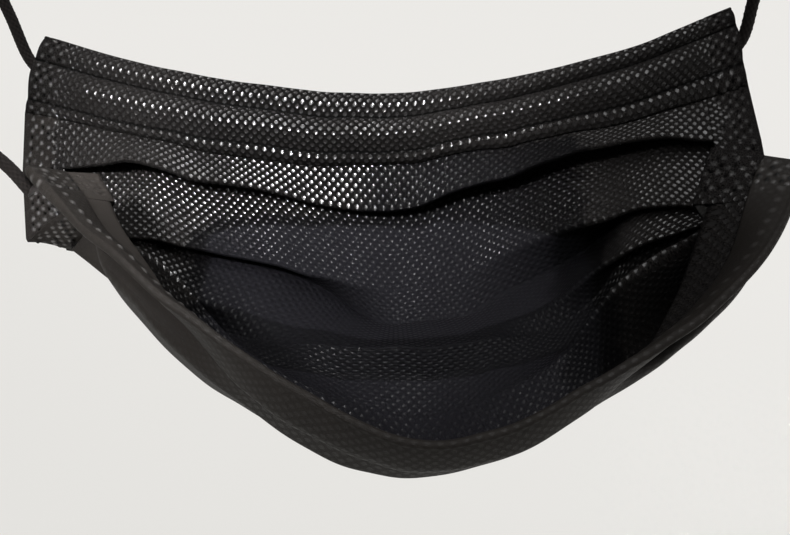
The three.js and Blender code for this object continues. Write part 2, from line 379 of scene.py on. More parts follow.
# Bend radius at each line, rows of points in its bend, and rows from there to the next line.
foldBends = {
    "farEdge": (0, 0, 5),
    "hemSeam": (0, 0, 7),
    "wireSeam": (0, 0, 4),
    "hemEdge": (0, 0, 12),
    "underFold": (2.5, 6, 8),
    "ridge": (1.0, 5, 9),
    "hollow": (6.0, 8, 9),
    "belly": (3.0, 8, 6),
    "nearFold": (1.5, 5, 10),
    "nearEdge": (0, 0, 0),
}
# How far each pleat stands open at the stations, from 0 to 1, and how deep it is tucked in.
pleatOpen = {
    "pleat1": [0, 0.10, 0.05, 0.02, 0.12, 0.12, 0],
    "pleat2": [0, 0.12, 0.42, 1, 0.85, 0.12, 0],
    "pleat3": [0, 0.10, 0.80, 1, 0.85, 0.10, 0],
}
pleatTuck = {
    "pleat1": [9, 9, 9, 8, 9, 9, 9],
    "pleat2": [7, 9, 9, 7, 8, 9, 7],
    "pleat3": [2, 4, 4, 4, 4, 4, 2],
}
flatCloth = {
    "halfWidth": 87.5,
    "seamWidth": 9.0,
    "bodyThick": 0.4,
    "layer": 0.75,  # between two pleat layers in the middle of the mask
    "layerAtSeam": 0.3,
    "layerGrows": 14.0,  # from the seam to where the layers stand fully apart
    "pleatRows": (0, 7, 0, 13),  # rows of points after each of a pleat's four turns
    "bendRows": 5,
    "columns": 261,
}
bodyEnd = flatCloth["halfWidth"] - flatCloth["seamWidth"]


def across(values, u):
    # smooth curve through the values at the stations
    values = np.asarray(values, float)
    k = np.clip(np.searchsorted(stations, u, side="right") - 1, 0, len(stations) - 2)
    before, after = np.maximum(k - 1, 0), np.minimum(k + 2, len(stations) - 1)
    h = stations[k + 1] - stations[k]
    t = (u - stations[k]) / h
    shape = (-1,) + (1,) * (values.ndim - 1)
    wide0 = (stations[k + 1] - stations[before]).reshape(shape)
    wide1 = (stations[after] - stations[k]).reshape(shape)
    slope0 = (values[k + 1] - values[before]) / wide0
    slope1 = (values[after] - values[k]) / wide1
    t, h = t.reshape(shape), h.reshape(shape)
    return (values[k] * (2 * t**3 - 3 * t**2 + 1) + slope0 * h * (t**3 - 2 * t**2 + t)
            + values[k + 1] * (3 * t**2 - 2 * t**3) + slope1 * h * (t**3 - t**2))


def line(name, u):
    points = across(foldLines[name], u)
    for middle, wide, move in foldMoves.get(name, ()):
        points = points + hump(u, middle, wide)[:, None] * np.array(move)
    return points


def alongLine(name, u):
    return unit(line(name, u + 2) - line(name, u - 2))


def pleatTurn(name, u, previous):
    # the four turns of a pleat: its edge, round to the next layer, back up to the tuck, and down again
    edge = line(name, u)
    down = unit(edge - previous)
    face = unit(np.cross(down, alongLine(name, u)))
    half = (np.pi / 2 * np.clip(across(pleatOpen[name], u), 0, 1))[:, None]
    turn = down * np.sin(half) - face * np.cos(half)
    back = -down * np.cos(2 * half) - face * np.sin(2 * half)
    grown = share(bodyEnd - np.abs(u), flatCloth["layerGrows"])[:, None]
    layer = flatCloth["layerAtSeam"] + (flatCloth["layer"] - flatCloth["layerAtSeam"]) * grown
    under = edge + turn * layer
    tuck = under + back * across(pleatTuck[name], u)[:, None]
    return [edge, under, tuck, tuck + turn * layer]


def clothCorners(u):
    # the fold points down the cloth: point, bend radius, rows in the bend, rows up to the next point
    corners = {name: (line(name, u), *bend) for name, bend in foldBends.items()}
    names = list(foldBends)
    hem, basin = names[:names.index("underFold")], names[names.index("underFold"):]
    pleats = []
    previous = corners[hem[-1]][0]
    for name in pleatOpen:
        turns = pleatTurn(name, u, previous)
        for turned, rows in zip(turns, flatCloth["pleatRows"]):
            pleats.append((turned, flatCloth["layer"] / 2, flatCloth["bendRows"], rows))
        previous = turns[-1]
    return [corners[name] for name in hem] + pleats + [corners[name] for name in basin]


def sweepRows(corners):
    # rounds the bends and fills the flats: rows of points, one column for each u
    longestBend = 0.44  # share of the shorter flat beside it
    rows = []
    for i, (p, radius, steps, fill) in enumerate(corners):
        if steps:
            before, after = corners[i - 1][0] - p, corners[i + 1][0] - p
            lengthBefore, lengthAfter = (np.linalg.norm(x, axis=-1, keepdims=True) for x in (before, after))
            a, b = unit(before), unit(after)
            cosine = np.clip((a * b).sum(-1, keepdims=True), -0.999, 0.999)
            reach = np.minimum(radius / np.tan(np.arccos(cosine) / 2),
                               longestBend * np.minimum(lengthBefore, lengthAfter))
            bend = []
            for k in range(steps + 1):
                t = k / steps
                bend.append((p + a * reach) * (1 - t) ** 2 + p * 2 * t * (1 - t) + (p + b * reach) * t**2)
        else:
            bend = [p]
        if rows:
            count, last = corners[i - 1][3], rows[-1]
            for k in range(1, count + 1):
                rows.append(last + (bend[0] - last) * k / (count + 1))
        rows += bend
    return np.array(rows)


def gridNormals(points):
    return unit(np.cross(np.gradient(points, axis=0), np.gradient(points, axis=1)))


wavesLook = {
    "rise": 0.16,
    "forward": 0.3,  # share of the rise that goes back and forth
    "count": 9,
    "wave": (8.0, 24.0),  # shortest and longest, across the mask
    "lean": 0.45,
    "calmer": (2.0, 12.0, 0.25),  # weaker from here to the far hem: over what distance, and down to what
    "seed": 11,
}


def settle(points):
    # soft uneven waves that move all layers together, weaker at the far hem
    draw = np.random.default_rng(wavesLook["seed"])
    shortest, longest = wavesLook["wave"]
    x, y, z = (points[..., k] for k in range(3))
    total = np.zeros(x.shape)
    for _ in range(wavesLook["count"]):
        wave = draw.uniform(shortest, longest)
        leanY, leanZ = draw.uniform(-wavesLook["lean"], wavesLook["lean"], 2)
        phase = draw.uniform(0, 2 * np.pi)
        total += np.sin(2 * np.pi / wave * (x + leanY * y + leanZ * z) + phase) * wave / longest
    total /= math.sqrt(wavesLook["count"]) * 0.6  # brings the sum back to about 1
    start, over, least = wavesLook["calmer"]
    fade = np.clip((start - y) / over, least, 1)
    moved = points.copy()
    moved[..., 2] += wavesLook["rise"] * total * fade
    moved[..., 1] += wavesLook["forward"] * wavesLook["rise"] * total * fade
    return moved


print("materials")
clothLook = {
    "pitchAcross": 2.1,  # one bond dot to the next along a row
    "pitchAlong": 1.95,
    "dotSize": 0.30,
    "grain": 3600.0,  # fineness of the felted cloth
    "threadGap": 0.42,
    "threadAngles": (18, 78, 137),
    "fibre": (0.0222, 0.0202, 0.0194, 1),
    "fibreDark": (0.0004, 0.0003, 0.0003, 1),
    "dotColour": (0.012, 0.0112, 0.0110, 1),
    "dotsInWet": 0.14,  # what is left of the dots' shine in the wet
    "flatLitColour": (0.0320, 0.0282, 0.0256, 1),  # where the bond dots are left out: paler and browner, partly the flattened cloth and partly painted light on the lit left side
    "wetColour": (0.0076, 0.0074, 0.0093, 1),  # soaked, in the basin
    "dampColour": (0.0011, 0.0010, 0.0014, 1),  # the patch above it
    "hole": (0.001, 0.001, 0.001, 1),  # painted shade: near black in the pinholes, the weld grooves and the shaded folds
    "outer": (0.0120, 0.0098, 0.0082, 1),
    "outerDark": (0.0085, 0.0070, 0.0059, 1),
    "weldColour": (0.062, 0.0585, 0.0570, 1),
}


def bondDots(nodes, uv):
    # staggered diamonds pressed into the cloth: 1 on a dot, its bowl shape, and a random value for each dot
    alongX, alongY = nodes.split(uv)
    a = nodes.math("DIVIDE", alongX, clothLook["pitchAcross"] * mm)
    b = nodes.math("DIVIDE", alongY, clothLook["pitchAlong"] * mm)
    cells, cubes = [], []
    for operation in ("ADD", "SUBTRACT"):
        skewed = nodes.math(operation, a, b)
        cells.append(nodes.math("ROUND", skewed))
        distance = nodes.math("ABSOLUTE", nodes.math("SUBTRACT", skewed, cells[-1]))
        cubes.append(nodes.math("POWER", distance, 3.0))
    reach = nodes.math("POWER", nodes.total((cubes[0], 1.0), (cubes[1], 1.0)), 1 / 3)  # rounds the diamond
    dot = nodes.ramp(reach, clothLook["dotSize"] + 0.06, clothLook["dotSize"] - 0.05)
    bowl = nodes.ramp(reach, clothLook["dotSize"] + 0.08, 0.0)
    joined = nodes.add("ShaderNodeCombineXYZ")
    nodes.feed(joined.inputs[0], cells[0])
    nodes.feed(joined.inputs[1], cells[1])
    white = nodes.add("ShaderNodeTexWhiteNoise", noise_dimensions="2D")
    nodes.feed(white.inputs["Vector"], joined.outputs[0])
    return dot, bowl, white.outputs["Value"]


def fibres(nodes, uv):
    # thin crossing threads of the felted cloth, 1 on a thread
    bent = nodes.add("ShaderNodeTexNoise", noise_dimensions="2D")
    nodes.feed(bent.inputs["Vector"], uv)
    nodes.feed(bent.inputs["Scale"], 420.0)
    nodes.feed(bent.inputs["Detail"], 1.0)
    threads = []
    for degrees in clothLook["threadAngles"]:
        turned = nodes.add("ShaderNodeVectorRotate", rotation_type="Z_AXIS")
        nodes.feed(turned.inputs["Vector"], uv)
        nodes.feed(turned.inputs["Angle"], math.radians(degrees))
        wave = nodes.product(nodes.split(turned.outputs[0])[0], 2 * math.pi / (clothLook["threadGap"] * mm))
        phase = nodes.math("MULTIPLY_ADD", bent.outputs["Fac"], 26.0, wave)
        threads.append(nodes.ramp(nodes.math("SINE", phase), 0.72, 1.0))
    return nodes.most(*threads)


def innerClothMaterial(name):
    nodes = Nodes(name)
    uv = nodes.coordinates("UV")
    dot, bowl, chance = bondDots(nodes, uv)
    thread = fibres(nodes, uv)
    weld, pin, wet, plain = (nodes.attribute(key) for key in ("weld", "pin", "wet", "plain"))
    flatAndLit, groove, foldShade, damp = (nodes.attribute(key) for key in ("flatAndLit", "groove", "foldShade", "damp"))
    fine = nodes.noise(uv, clothLook["grain"], 3.0, 0.75)
    patchy = nodes.noise(uv, 260.0, 2.0, 0.6)
    broad = nodes.noise(uv, 95.0, 3.0, 0.6)
    # where the dots are left out, where the cloth is wet, and where shade is painted into the folds
    flattened = nodes.total((nodes.most(plain, flatAndLit), 1.0), (patchy, 0.5))
    bare = nodes.rest(nodes.ramp(flattened, 0.5, 0.8))
    dot, bowl = nodes.product(dot, bare), nodes.product(bowl, bare)
    wetness = nodes.ramp(nodes.total((wet, 1.0), (patchy, 0.5)), 0.55, 0.85)
    dry = nodes.ramp(wetness, 0.0, 1.0, 1.0, clothLook["dotsInWet"])
    # painted shade: the lowest fold under the third pleat's edge and the right end of the folds, turned near
    # black and dull
    foldShadeNoisy = nodes.total((foldShade, 1.0), (nodes.noise(uv, 120.0), 0.8))
    paintedFoldShade = nodes.product(nodes.ramp(foldShadeNoisy, 0.7, 1.0), 0.55)
    unshaded = nodes.rest(nodes.most(groove, pin, paintedFoldShade))
    # the colour, from the threads up to the welds
    felt = nodes.most(nodes.ramp(fine, 0.44, 0.62), nodes.product(thread, 0.6))
    felt = nodes.product(felt, nodes.rest(damp))
    soaked = nodes.mixColour(nodes.ramp(wet, 0.74, 0.95), clothLook["dampColour"], clothLook["wetColour"])
    colour = nodes.mixColour(felt, clothLook["fibreDark"], clothLook["fibre"])
    colour = nodes.mixColour(nodes.product(wetness, 0.9), colour, soaked)
    # partly painted light: the left flap and the left seam painted paler and browner
    colour = nodes.mixColour(flatAndLit, colour, clothLook["flatLitColour"])
    colour = nodes.mixColour(nodes.product(dot, dry), colour, clothLook["dotColour"])
    colour = nodes.mixColour(weld, colour, clothLook["weldColour"])
    # painted shade: near black in the weld grooves, the pinholes and the shaded folds
    colour = nodes.mixColour(nodes.rest(unshaded), colour, clothLook["hole"])
    rough = nodes.math("MULTIPLY_ADD", nodes.most(dot, weld), -0.35, 0.75)
    # the shine: uneven on the dots, in specks on wet threads, full on the welds
    lively = nodes.product(nodes.ramp(chance, 0.0, 1.0, 0.5, 1.0), nodes.ramp(broad, 0.35, 0.6, 0.5, 1.0),
                           nodes.math("MULTIPLY_ADD", damp, 0.95, 0.5))
    speck = nodes.product(nodes.ramp(fine, 0.58, 0.68), nodes.ramp(wetness, 0.0, 1.0, 0.14, 0.6))
    shine = nodes.most(nodes.product(dot, lively, dry), speck, weld, nodes.product(wetness, 0.01))
    # no shine where shade is painted
    shine = nodes.product(shine, unshaded)
    offDot = nodes.rest(dot)
    raised = nodes.product(thread, nodes.math("SUBTRACT", offDot, flatAndLit))
    height = nodes.total((bowl, -0.5), (raised, 0.35), (nodes.product(fine, offDot), 0.9),
                         (nodes.product(chance, dot), 0.3))
    return nodes.finish(colour, rough, height, 1.0, 0.14, Specular_IOR_Level=0.03, Coat_Weight=shine,
                        Coat_Roughness=0.22, Coat_IOR=1.8)


def outerClothMaterial(name):
    nodes = Nodes(name)
    uv = nodes.coordinates("UV")
    dot, bowl, _ = bondDots(nodes, uv)
    thread = fibres(nodes, uv)
    weld, pin = nodes.attribute("weld"), nodes.attribute("pin")
    fine = nodes.noise(uv, clothLook["grain"], 3.0, 0.75)
    patchy = nodes.noise(uv, 150.0, 3.0, 0.6)
    colour = nodes.mixColour(nodes.ramp(nodes.total((fine, 0.6), (patchy, 0.6)), 0.35, 0.85),
                             clothLook["outerDark"], clothLook["outer"])
    colour = nodes.mixColour(weld, colour, clothLook["weldColour"])
    # painted shade: the pinholes near black
    colour = nodes.mixColour(pin, colour, clothLook["hole"])
    rough = nodes.math("MULTIPLY_ADD", nodes.most(weld, nodes.product(dot, 0.3)), -0.25, 0.7)
    shine = nodes.most(nodes.product(weld, 0.7), nodes.product(dot, 0.06))
    height = nodes.total((bowl, -0.14), (thread, 0.2), (fine, 0.5))
    return nodes.finish(colour, rough, height, 0.9, 0.09, Specular_IOR_Level=0.16, Coat_Weight=shine,
                        Coat_Roughness=0.25, Coat_IOR=1.6)


innerCloth = innerClothMaterial("innerCloth")
outerCloth = outerClothMaterial("outerCloth")

print("mask body")
wetLook = {
    "level": -24.0,  # height below which the cloth in the basin is soaked
    "fade": 5.0,
    "basin": (-52.0, 56.0, 12.0),  # the soaked cloth's two ends across, and how far they fade inwards
    "halo": (20.0, 29.0, 0.80),  # damp patch above the basin: its middle across, its reach and its strength
    "haloFrom": (-6.0, 5.0),  # it starts this far towards the near side and is full this much further on
    "foldWide": 52.0,  # the painted shade in the lowest fold reaches this far to each side
    "gapFrom": (33.0, -21.0),  # the painted shade in the right end of the folds: where it starts across, and its top
    "flapFlatAndLit": 0.9,  # how flat the dots are near the near hem, and how far its colour is painted paler there on the left: partly painted light
    "flapReach": 24.0,
    "flapRows": 24,  # the rows of points that may be this smooth, from the near edge
    "damp": (-19.0, 33.0, 0.7),  # darker threads round the wet patch: middle across, reach and strength
}


def dampMark(u, rows):
    # the same share down the whole width of cloth
    middle, reach, strength = wetLook["damp"]
    return np.tile(strength * hump(u, middle, reach, 4), (rows, 1))


def bodyMarks(points, u, values):
    # where the cloth is wet, where shade is painted into the folds, and where its dots are flattened near
    # the near hem, with its colour painted paler on the left
    x, y, z = (points[..., k] for k in range(3))
    left, right, ends = values["basin"]
    soaked = np.clip((values["level"] - z) / values["fade"] + 0.5, 0, 1)
    soaked *= share(x - left, ends) * share(right - x, ends)
    middle, reach, strength = values["halo"]
    start, over = values["haloFrom"]
    halo = strength * hump(x, middle, reach, 4) * share(start - y, over)
    # painted shade in the lowest fold, under the third pleat's edge
    above, below = line("pleat3", u)[:, 1], line("underFold", u)[:, 1]
    inFold = share((above - below) / 2 + 2 - np.abs(y - (above + below) / 2), 2.5)
    inFold *= share(values["foldWide"] - np.abs(x), 10) * (z < values["level"])
    # painted shade in the right end of the folds
    gapStart, gapTop = values["gapFrom"]
    inGap = share(x - gapStart, 12) * share(gapTop - z, 4)
    # the flap near the near hem, on the left only: dots flattened, and its colour painted paler as painted
    # light
    fromRim = np.linalg.norm(points - points[-1:], axis=-1)
    lastRows = (np.arange(len(points)) > len(points) - values["flapRows"])[:, None]
    flap = values["flapFlatAndLit"] * share(values["flapReach"] - fromRim, 6) * lastRows
    return {"wet": np.maximum(soaked, halo), "foldShade": np.maximum(inFold, inGap),
            "flatAndLit": flap * share(-x, 30), "damp": dampMark(u, len(points))}


bodyU = np.linspace(-bodyEnd, bodyEnd, flatCloth["columns"])
bodyPoints = sweepRows(clothCorners(bodyU))
bodyV = rowDistance(bodyPoints)
bodyLook = bodyMarks(bodyPoints, bodyU, wetLook)
maskCloth = gridSheet("mask_cloth", settle(bodyPoints), bodyU, bodyV, bodyLook)
giveWall(maskCloth, flatCloth["bodyThick"], [innerCloth, outerCloth])
place(maskCloth, "mask_body")

print("side seams")
seamLook = {
    "thick": 0.5,
    "overlap": 1.4,  # how far it runs in over the mask body
    "columns": 41,
    "dotAcross": 2.9,
    "dotAlong": 2.7,
    "dotRadius": 0.52,
    "dotDepth": 0.26,
    "dotRound": 0.7,  # below 1, a dot is flat in its middle and steep at its rim
    "stray": 0.7,  # the whole distance over which a dot may stray
    "pinRadius": 0.38,
    "pinDepth": 0.4,
    "plain": 0.85,  # how much of the bond dots the weld has flattened
    "dotLeast": 0.3,  # the faintest weld dot, beside 1 for the deepest
    "pinShare": 0.45,  # share of the gaps between the dots that have a pinhole
    "pressed": {"left": 1.7, "right": 0.65},  # how clearly the weld dots show
    "paleOnLitSide": {"left": 0.45, "right": 0.0},  # how much paler the welded cloth is painted: painted light, on the left side only
}
# fold line, bend radius, and rows of points up to the next line
seamStops = (("farEdge", 0, 20), ("hemSeam", 0, 24), ("wireSeam", 0, 14), ("hemEdge", 0, 30),
             ("pleat1", 0.6, 44), ("pleat2", 1.0, 34), ("ridge", 0.6, 26), ("nearFold", 1.0, 34),
             ("nearEdge", 0, 0))


def chanceAt(a, b, shift):
    # an uneven value from 0 to 1 for each dot, the same at every run
    return np.abs(np.sin(a * 12.9898 + b * 78.233 + shift * 4.1) * 43758.5453) % 1


def roundDot(away, radius):
    return np.clip(1 - (away / radius) ** 2, 0, 1) ** seamLook["dotRound"]


def seamWelds(u, v):
    # staggered weld dots and a few pinholes between them, each from 0 to 1
    a, b = u / seamLook["dotAcross"], v / seamLook["dotAlong"]
    dots, pins = 0, 0
    for shift in (0, 0.5):
        for shiftAcross, kind in ((shift, "dot"), (shift + 0.5, "pin")):
            ca, cb = np.round(a + shiftAcross), np.round(b + shift)
            stray = (chanceAt(ca, cb, shift + 2) - 0.5) * seamLook["stray"]
            away = np.hypot((a + shiftAcross - ca) * seamLook["dotAcross"] + stray,
                            (b + shift - cb) * seamLook["dotAlong"] - stray * 0.6)
            chance = chanceAt(ca, cb, shift)
            if kind == "dot":
                press = seamLook["dotLeast"] + (1 - seamLook["dotLeast"]) * chance**1.6
                dots = np.maximum(dots, press * roundDot(away, seamLook["dotRadius"]))
            else:
                hole = share(seamLook["pinRadius"] + 0.1 - away, 0.2)
                pins = np.maximum(pins, hole * (chance < seamLook["pinShare"]))
    return dots, pins


def seamPlain(u, v):
    # how far the seam has flattened the bond dots, uneven along its inner border
    border = 1.2 * np.sin(v / 3.1) + 0.8 * np.sin(v / 1.3 + 2)
    return seamLook["plain"] * share(np.abs(u)[None, :] - bodyEnd - border[:, None], 2.5)


def pressWelds(points, u, v):
    # pushes the weld dots and pinholes into the seam strips at both ends of a sheet
    inSeam = share(np.abs(u) - bodyEnd, 0.6) * share(flatCloth["halfWidth"] - 0.7 - np.abs(u), 0.5)
    dots, pins = seamWelds(u[None, :], v[:, None])
    dots, pins = dots * inSeam, pins * inSeam
    depth = seamLook["dotDepth"] * dots + seamLook["pinDepth"] * pins
    return points - gridNormals(points) * depth[..., None], dots, pins


def addSeam(side, sign):
    innerSide, outerSide = bodyEnd - seamLook["overlap"], flatCloth["halfWidth"]
    u = np.sort(sign * np.linspace(innerSide, outerSide, seamLook["columns"]))
    points = sweepRows([(line(name, u), radius, flatCloth["bendRows"] if radius else 0, fill)
                        for name, radius, fill in seamStops])
    v = rowDistance(points)
    pressed, dots, pins = pressWelds(settle(points), u, v)
    plain = seamPlain(u, v)
    # the seam's cloth painted paler on the left side only: painted light
    flatAndLit = plain * seamLook["paleOnLitSide"][side]
    dots = dots * seamLook["pressed"][side]
    if side == "left":  # the turned-up near end, from inside the last bend on, where nothing is pressed in
        turned = -seamStops[-2][2] - 4
        flatAndLit[turned:] = wetLook["flapFlatAndLit"]
        dots[turned:] *= 1 - wetLook["flapFlatAndLit"]
        pins[turned:] *= 1 - wetLook["flapFlatAndLit"]
    seam = gridSheet(f"side_seam_{side}_weld", pressed, u, v,
                     {"weld": dots, "pin": pins, "plain": plain, "flatAndLit": flatAndLit})
    giveWall(seam, seamLook["thick"], [innerCloth, outerCloth])
    place(seam, f"side_seam_{side}")
    return seam


seams = [addSeam("left", -1), addSeam("right", 1)]

print("hems")
hemLook = {
    "thick": 0.3,
    "lift": 0.42,  # middle of the binding above the middle of the cloth where it is welded down
    "bandRise": (1.25, 2.45, 0.75),  # puff of the three bands of the far hem
    "bandRows": (22, 26, 12),  # rows of points in each of them
    "outerRise": 0.35,
    "outerReach": 1.1,  # how far the binding runs down the outer face, in bands
    "outerRows": 16,
    "nearRise": 0.7,
    "nearWidth": 8.0,
    "nearRows": 30,
    "edgeRound": 0.7,
    "edgeTurn": 75,  # degrees that the rounded edge turns to each side
    "edgeRows": 9,
    "edgeFlat": 0.8,  # how far the edge stands out, as a share of edgeRound
    "weldPitch": 1.05,
    "weldDepth": 0.16,
    "nearDotPitch": 2.9,
    "nearDotRadius": 0.75,
    "nearDotPlace": 3.4,  # from the near edge
    "nearDotFade": (-45.0, 30.0),  # the dots are strong up to here and faint this much further on
    "cornerThick": (-82.0, 8.0, 0.6),  # thicker corner over the cord's end: its middle, reach and swelling
    "endFlat": 0.5,  # what is left of the puffs in the side seams
    "endFade": 9.0,
    "grooveWidth": 0.5,
    "inset": 0.3,  # from the sides of the mask
    "columns": 551,
}
hemEnd = flatCloth["halfWidth"] - hemLook["inset"]
hemU = np.linspace(-hemEnd, hemEnd, hemLook["columns"])
edgeAngles = np.radians(np.linspace(-hemLook["edgeTurn"], hemLook["edgeTurn"], hemLook["edgeRows"]))


def leaf(names, u, t, h):
    # a point t bands down from the first line, h above the cloth's middle on the inner side
    last = len(names) - 1

    def at(x):
        band = min(int(x), last - 1)
        return line(names[band], u) * (1 - (x - band)) + line(names[band + 1], u) * (x - band)

    down = unit(at(min(t + 0.2, last)) - at(max(t - 0.2, 0)))
    normal = unit(np.cross(down, alongLine(names[min(int(t), last)], u)))
    return at(t) + normal * np.reshape(h, (-1, 1)), down, normal


def farHemPoints(names, u):
    # the binding's outer leaf, round the edge, then the inner leaf with its puffed bands
    puffed = share(bodyEnd + 1 - np.abs(u), hemLook["endFade"])
    puffed = hemLook["endFlat"] + (1 - hemLook["endFlat"]) * puffed * puffed * (3 - 2 * puffed)
    lift, rows = hemLook["lift"], []
    for t in np.linspace(hemLook["outerReach"], 0.04, hemLook["outerRows"]):
        rise = hemLook["outerRise"] * math.sin(math.pi * min(t, 1)) * puffed
        rows.append(leaf(names, u, t, -(lift + rise))[0])
    edge, down, normal = leaf(names, u, 0, 0)
    for angle in edgeAngles:
        out = normal * math.sin(angle) - down * hemLook["edgeFlat"] * math.cos(angle)
        rows.append(edge + out * hemLook["edgeRound"])
    welded = hemLook["weldDepth"] * (0.4 + 0.6 * np.cos(2 * np.pi * u / hemLook["weldPitch"]))
    for k, (rise, count) in enumerate(zip(hemLook["bandRise"], hemLook["bandRows"])):
        for step in range(1, count + 1):
            x = step / count
            h = lift + rise * math.sin(math.pi * x**0.85) ** 1.05 * puffed
            if step == count:
                h = h - welded
            rows.append(leaf(names, u, k + x, h)[0])
    return np.array(rows)


def addHem(name, node, points, v, material, extraDots=None, grooves=()):
    pressed, dots, pins = pressWelds(settle(points), hemU, v)
    if extraDots is not None:
        dots = np.maximum(dots, extraDots)
        pressed = pressed - gridNormals(points) * (extraDots * seamLook["dotDepth"])[..., None]
    # the weld grooves, painted near black in the material as painted shade
    groove = np.zeros(dots.shape)
    for middle in grooves:
        groove = np.maximum(groove, hump(v, middle, hemLook["grooveWidth"])[:, None])
    marks = {"weld": dots, "pin": pins, "plain": seamPlain(hemU, v), "groove": groove,
             "damp": dampMark(hemU, len(v))}
    hem = gridSheet(name, pressed, hemU, v, marks)
    giveWall(hem, hemLook["thick"], [material])
    place(hem, node)
    return hem


farPoints = farHemPoints(["farEdge", "hemSeam", "wireSeam", "hemEdge"], hemU)
farV = rowDistance(farPoints)
upFromEdge = np.cumsum(hemLook["bandRows"][:0:-1])  # rows from the hem's lower edge up to each weld line
farGrooves = farV[len(farV) - 1 - upFromEdge]
topHem = addHem("top_hem_binding", "top_hem", farPoints, farV, innerCloth, grooves=farGrooves)

nearBody = sweepRows(clothCorners(hemU))[::-1]  # from the near edge inwards
nearReach = np.zeros(nearBody.shape[:2])
nearReach[1:] = np.cumsum(np.linalg.norm(np.diff(nearBody, axis=0), axis=-1), axis=0)
nearNormals = gridNormals(nearBody[::-1])[::-1]


def atReach(values, reach):
    # the values of each column at one distance from the near edge
    return np.stack([[np.interp(reach, nearReach[:, k], values[:, k, axis]) for axis in range(3)]
                     for k in range(len(hemU))])


def nearHemPoints(values):
    # the outer leaf, round the near edge, then the inner leaf; and each row's distance from the edge
    outerRows, edgeRows, innerRows = values["outerRows"], values["edgeRows"], values["nearRows"]
    puffed = np.clip((bodyEnd + 1 - np.abs(hemU)) / values["endFade"], 0.25, 1)
    away = np.concatenate([np.linspace(values["nearWidth"], 0.3, outerRows), np.zeros(edgeRows),
                           np.linspace(0.3, values["nearWidth"], innerRows)])
    lean = np.concatenate([np.full(outerRows, -1.0), np.sin(edgeAngles), np.full(innerRows, 1.0)])
    outward = unit(atReach(nearBody, 0) - atReach(nearBody, 2.0))
    middle, wide, swell = values["cornerThick"]
    thicker = swell * hump(hemU, middle, wide) * share(hemEnd - np.abs(hemU), 1.2)
    rows = []
    for reach, side in zip(away, lean):
        centre, normal = atReach(nearBody, reach), unit(atReach(nearNormals, max(reach, 1.0)))
        if abs(side) < 1:
            out = normal * side + outward * values["edgeFlat"] * math.sqrt(1 - side * side)
            rows.append(centre + out * (values["edgeRound"] + thicker)[:, None])
        else:
            puff = math.sin(math.pi * (reach / values["nearWidth"]) ** 0.8) ** 0.8
            rise = (values["nearRise"] if side > 0 else values["outerRise"]) * puff * puffed
            rise = rise + thicker * hump(reach, 0, 3)
            rows.append(centre + normal * (side * (values["lift"] + rise))[:, None])
    rows = np.array(rows)
    along = rowDistance(rows)
    return rows, along - along[outerRows + edgeRows // 2]


def nearHemDots(values, v):
    # one row of large weld dots along the near hem, fainter to the right
    offMiddle = (hemU / values["nearDotPitch"] % 1 - 0.5) * values["nearDotPitch"]
    away = np.hypot((v - values["nearDotPlace"])[:, None], offMiddle[None, :])
    strongTo, over = values["nearDotFade"]
    strength = np.clip(1 - (hemU - strongTo) / over, 0.25, 1)
    return roundDot(away, values["nearDotRadius"]) * strength[None, :]


nearPoints, nearV = nearHemPoints(hemLook)
nearDots = nearHemDots(hemLook, nearV)
bottomHem = addHem("bottom_hem_binding", "bottom_hem", nearPoints, nearV, outerCloth, nearDots)

print("loop welds")
weldLook = {
    "width": 5.2,  # flattened end of the elastic
    "thick": 1.0,
    "cordWidth": 2.5,  # where the cord runs into it
    "length": 9.0,
    "reach": 2.8,  # beyond the middle of the pad
    "towardCord": 1.2,  # from its middle to where the cord bends into it
    "offset": 1.2,  # middle of the pad from the middle of the cloth
    "flatFrom": 0.45,  # fully flat from this share of its length
    "tipFrom": 0.62,  # narrower from this share on
    "squareness": 0.7,  # 1 for a round section, less for a squarer one
    "waffle": 1.25,
    "waffleDepth": 0.2,
    "colour": (0.012, 0.0095, 0.009, 1),
}
# where each pad lies: station, two fold lines, the share between them, and which end of the loop it holds
weldPlaces = {
    "far_left": (-83.5, "hemSeam", "wireSeam", 0.35, 0),
    "near_left": (-83.5, "nearFold", "nearEdge", 0.80, -1),
    "far_right": (83.5, "hemSeam", "wireSeam", 0.35, 0),
    "near_right": (83.5, "nearFold", "nearEdge", 0.80, -1),
}


def flatElastic():
    nodes = Nodes("flatElastic")
    fuzz = nodes.noise(nodes.coordinates("Object"), 3800.0, 3.0, 0.7)
    return nodes.finish(weldLook["colour"], 0.55, fuzz, 0.6, 0.08, Specular_IOR_Level=0.4)


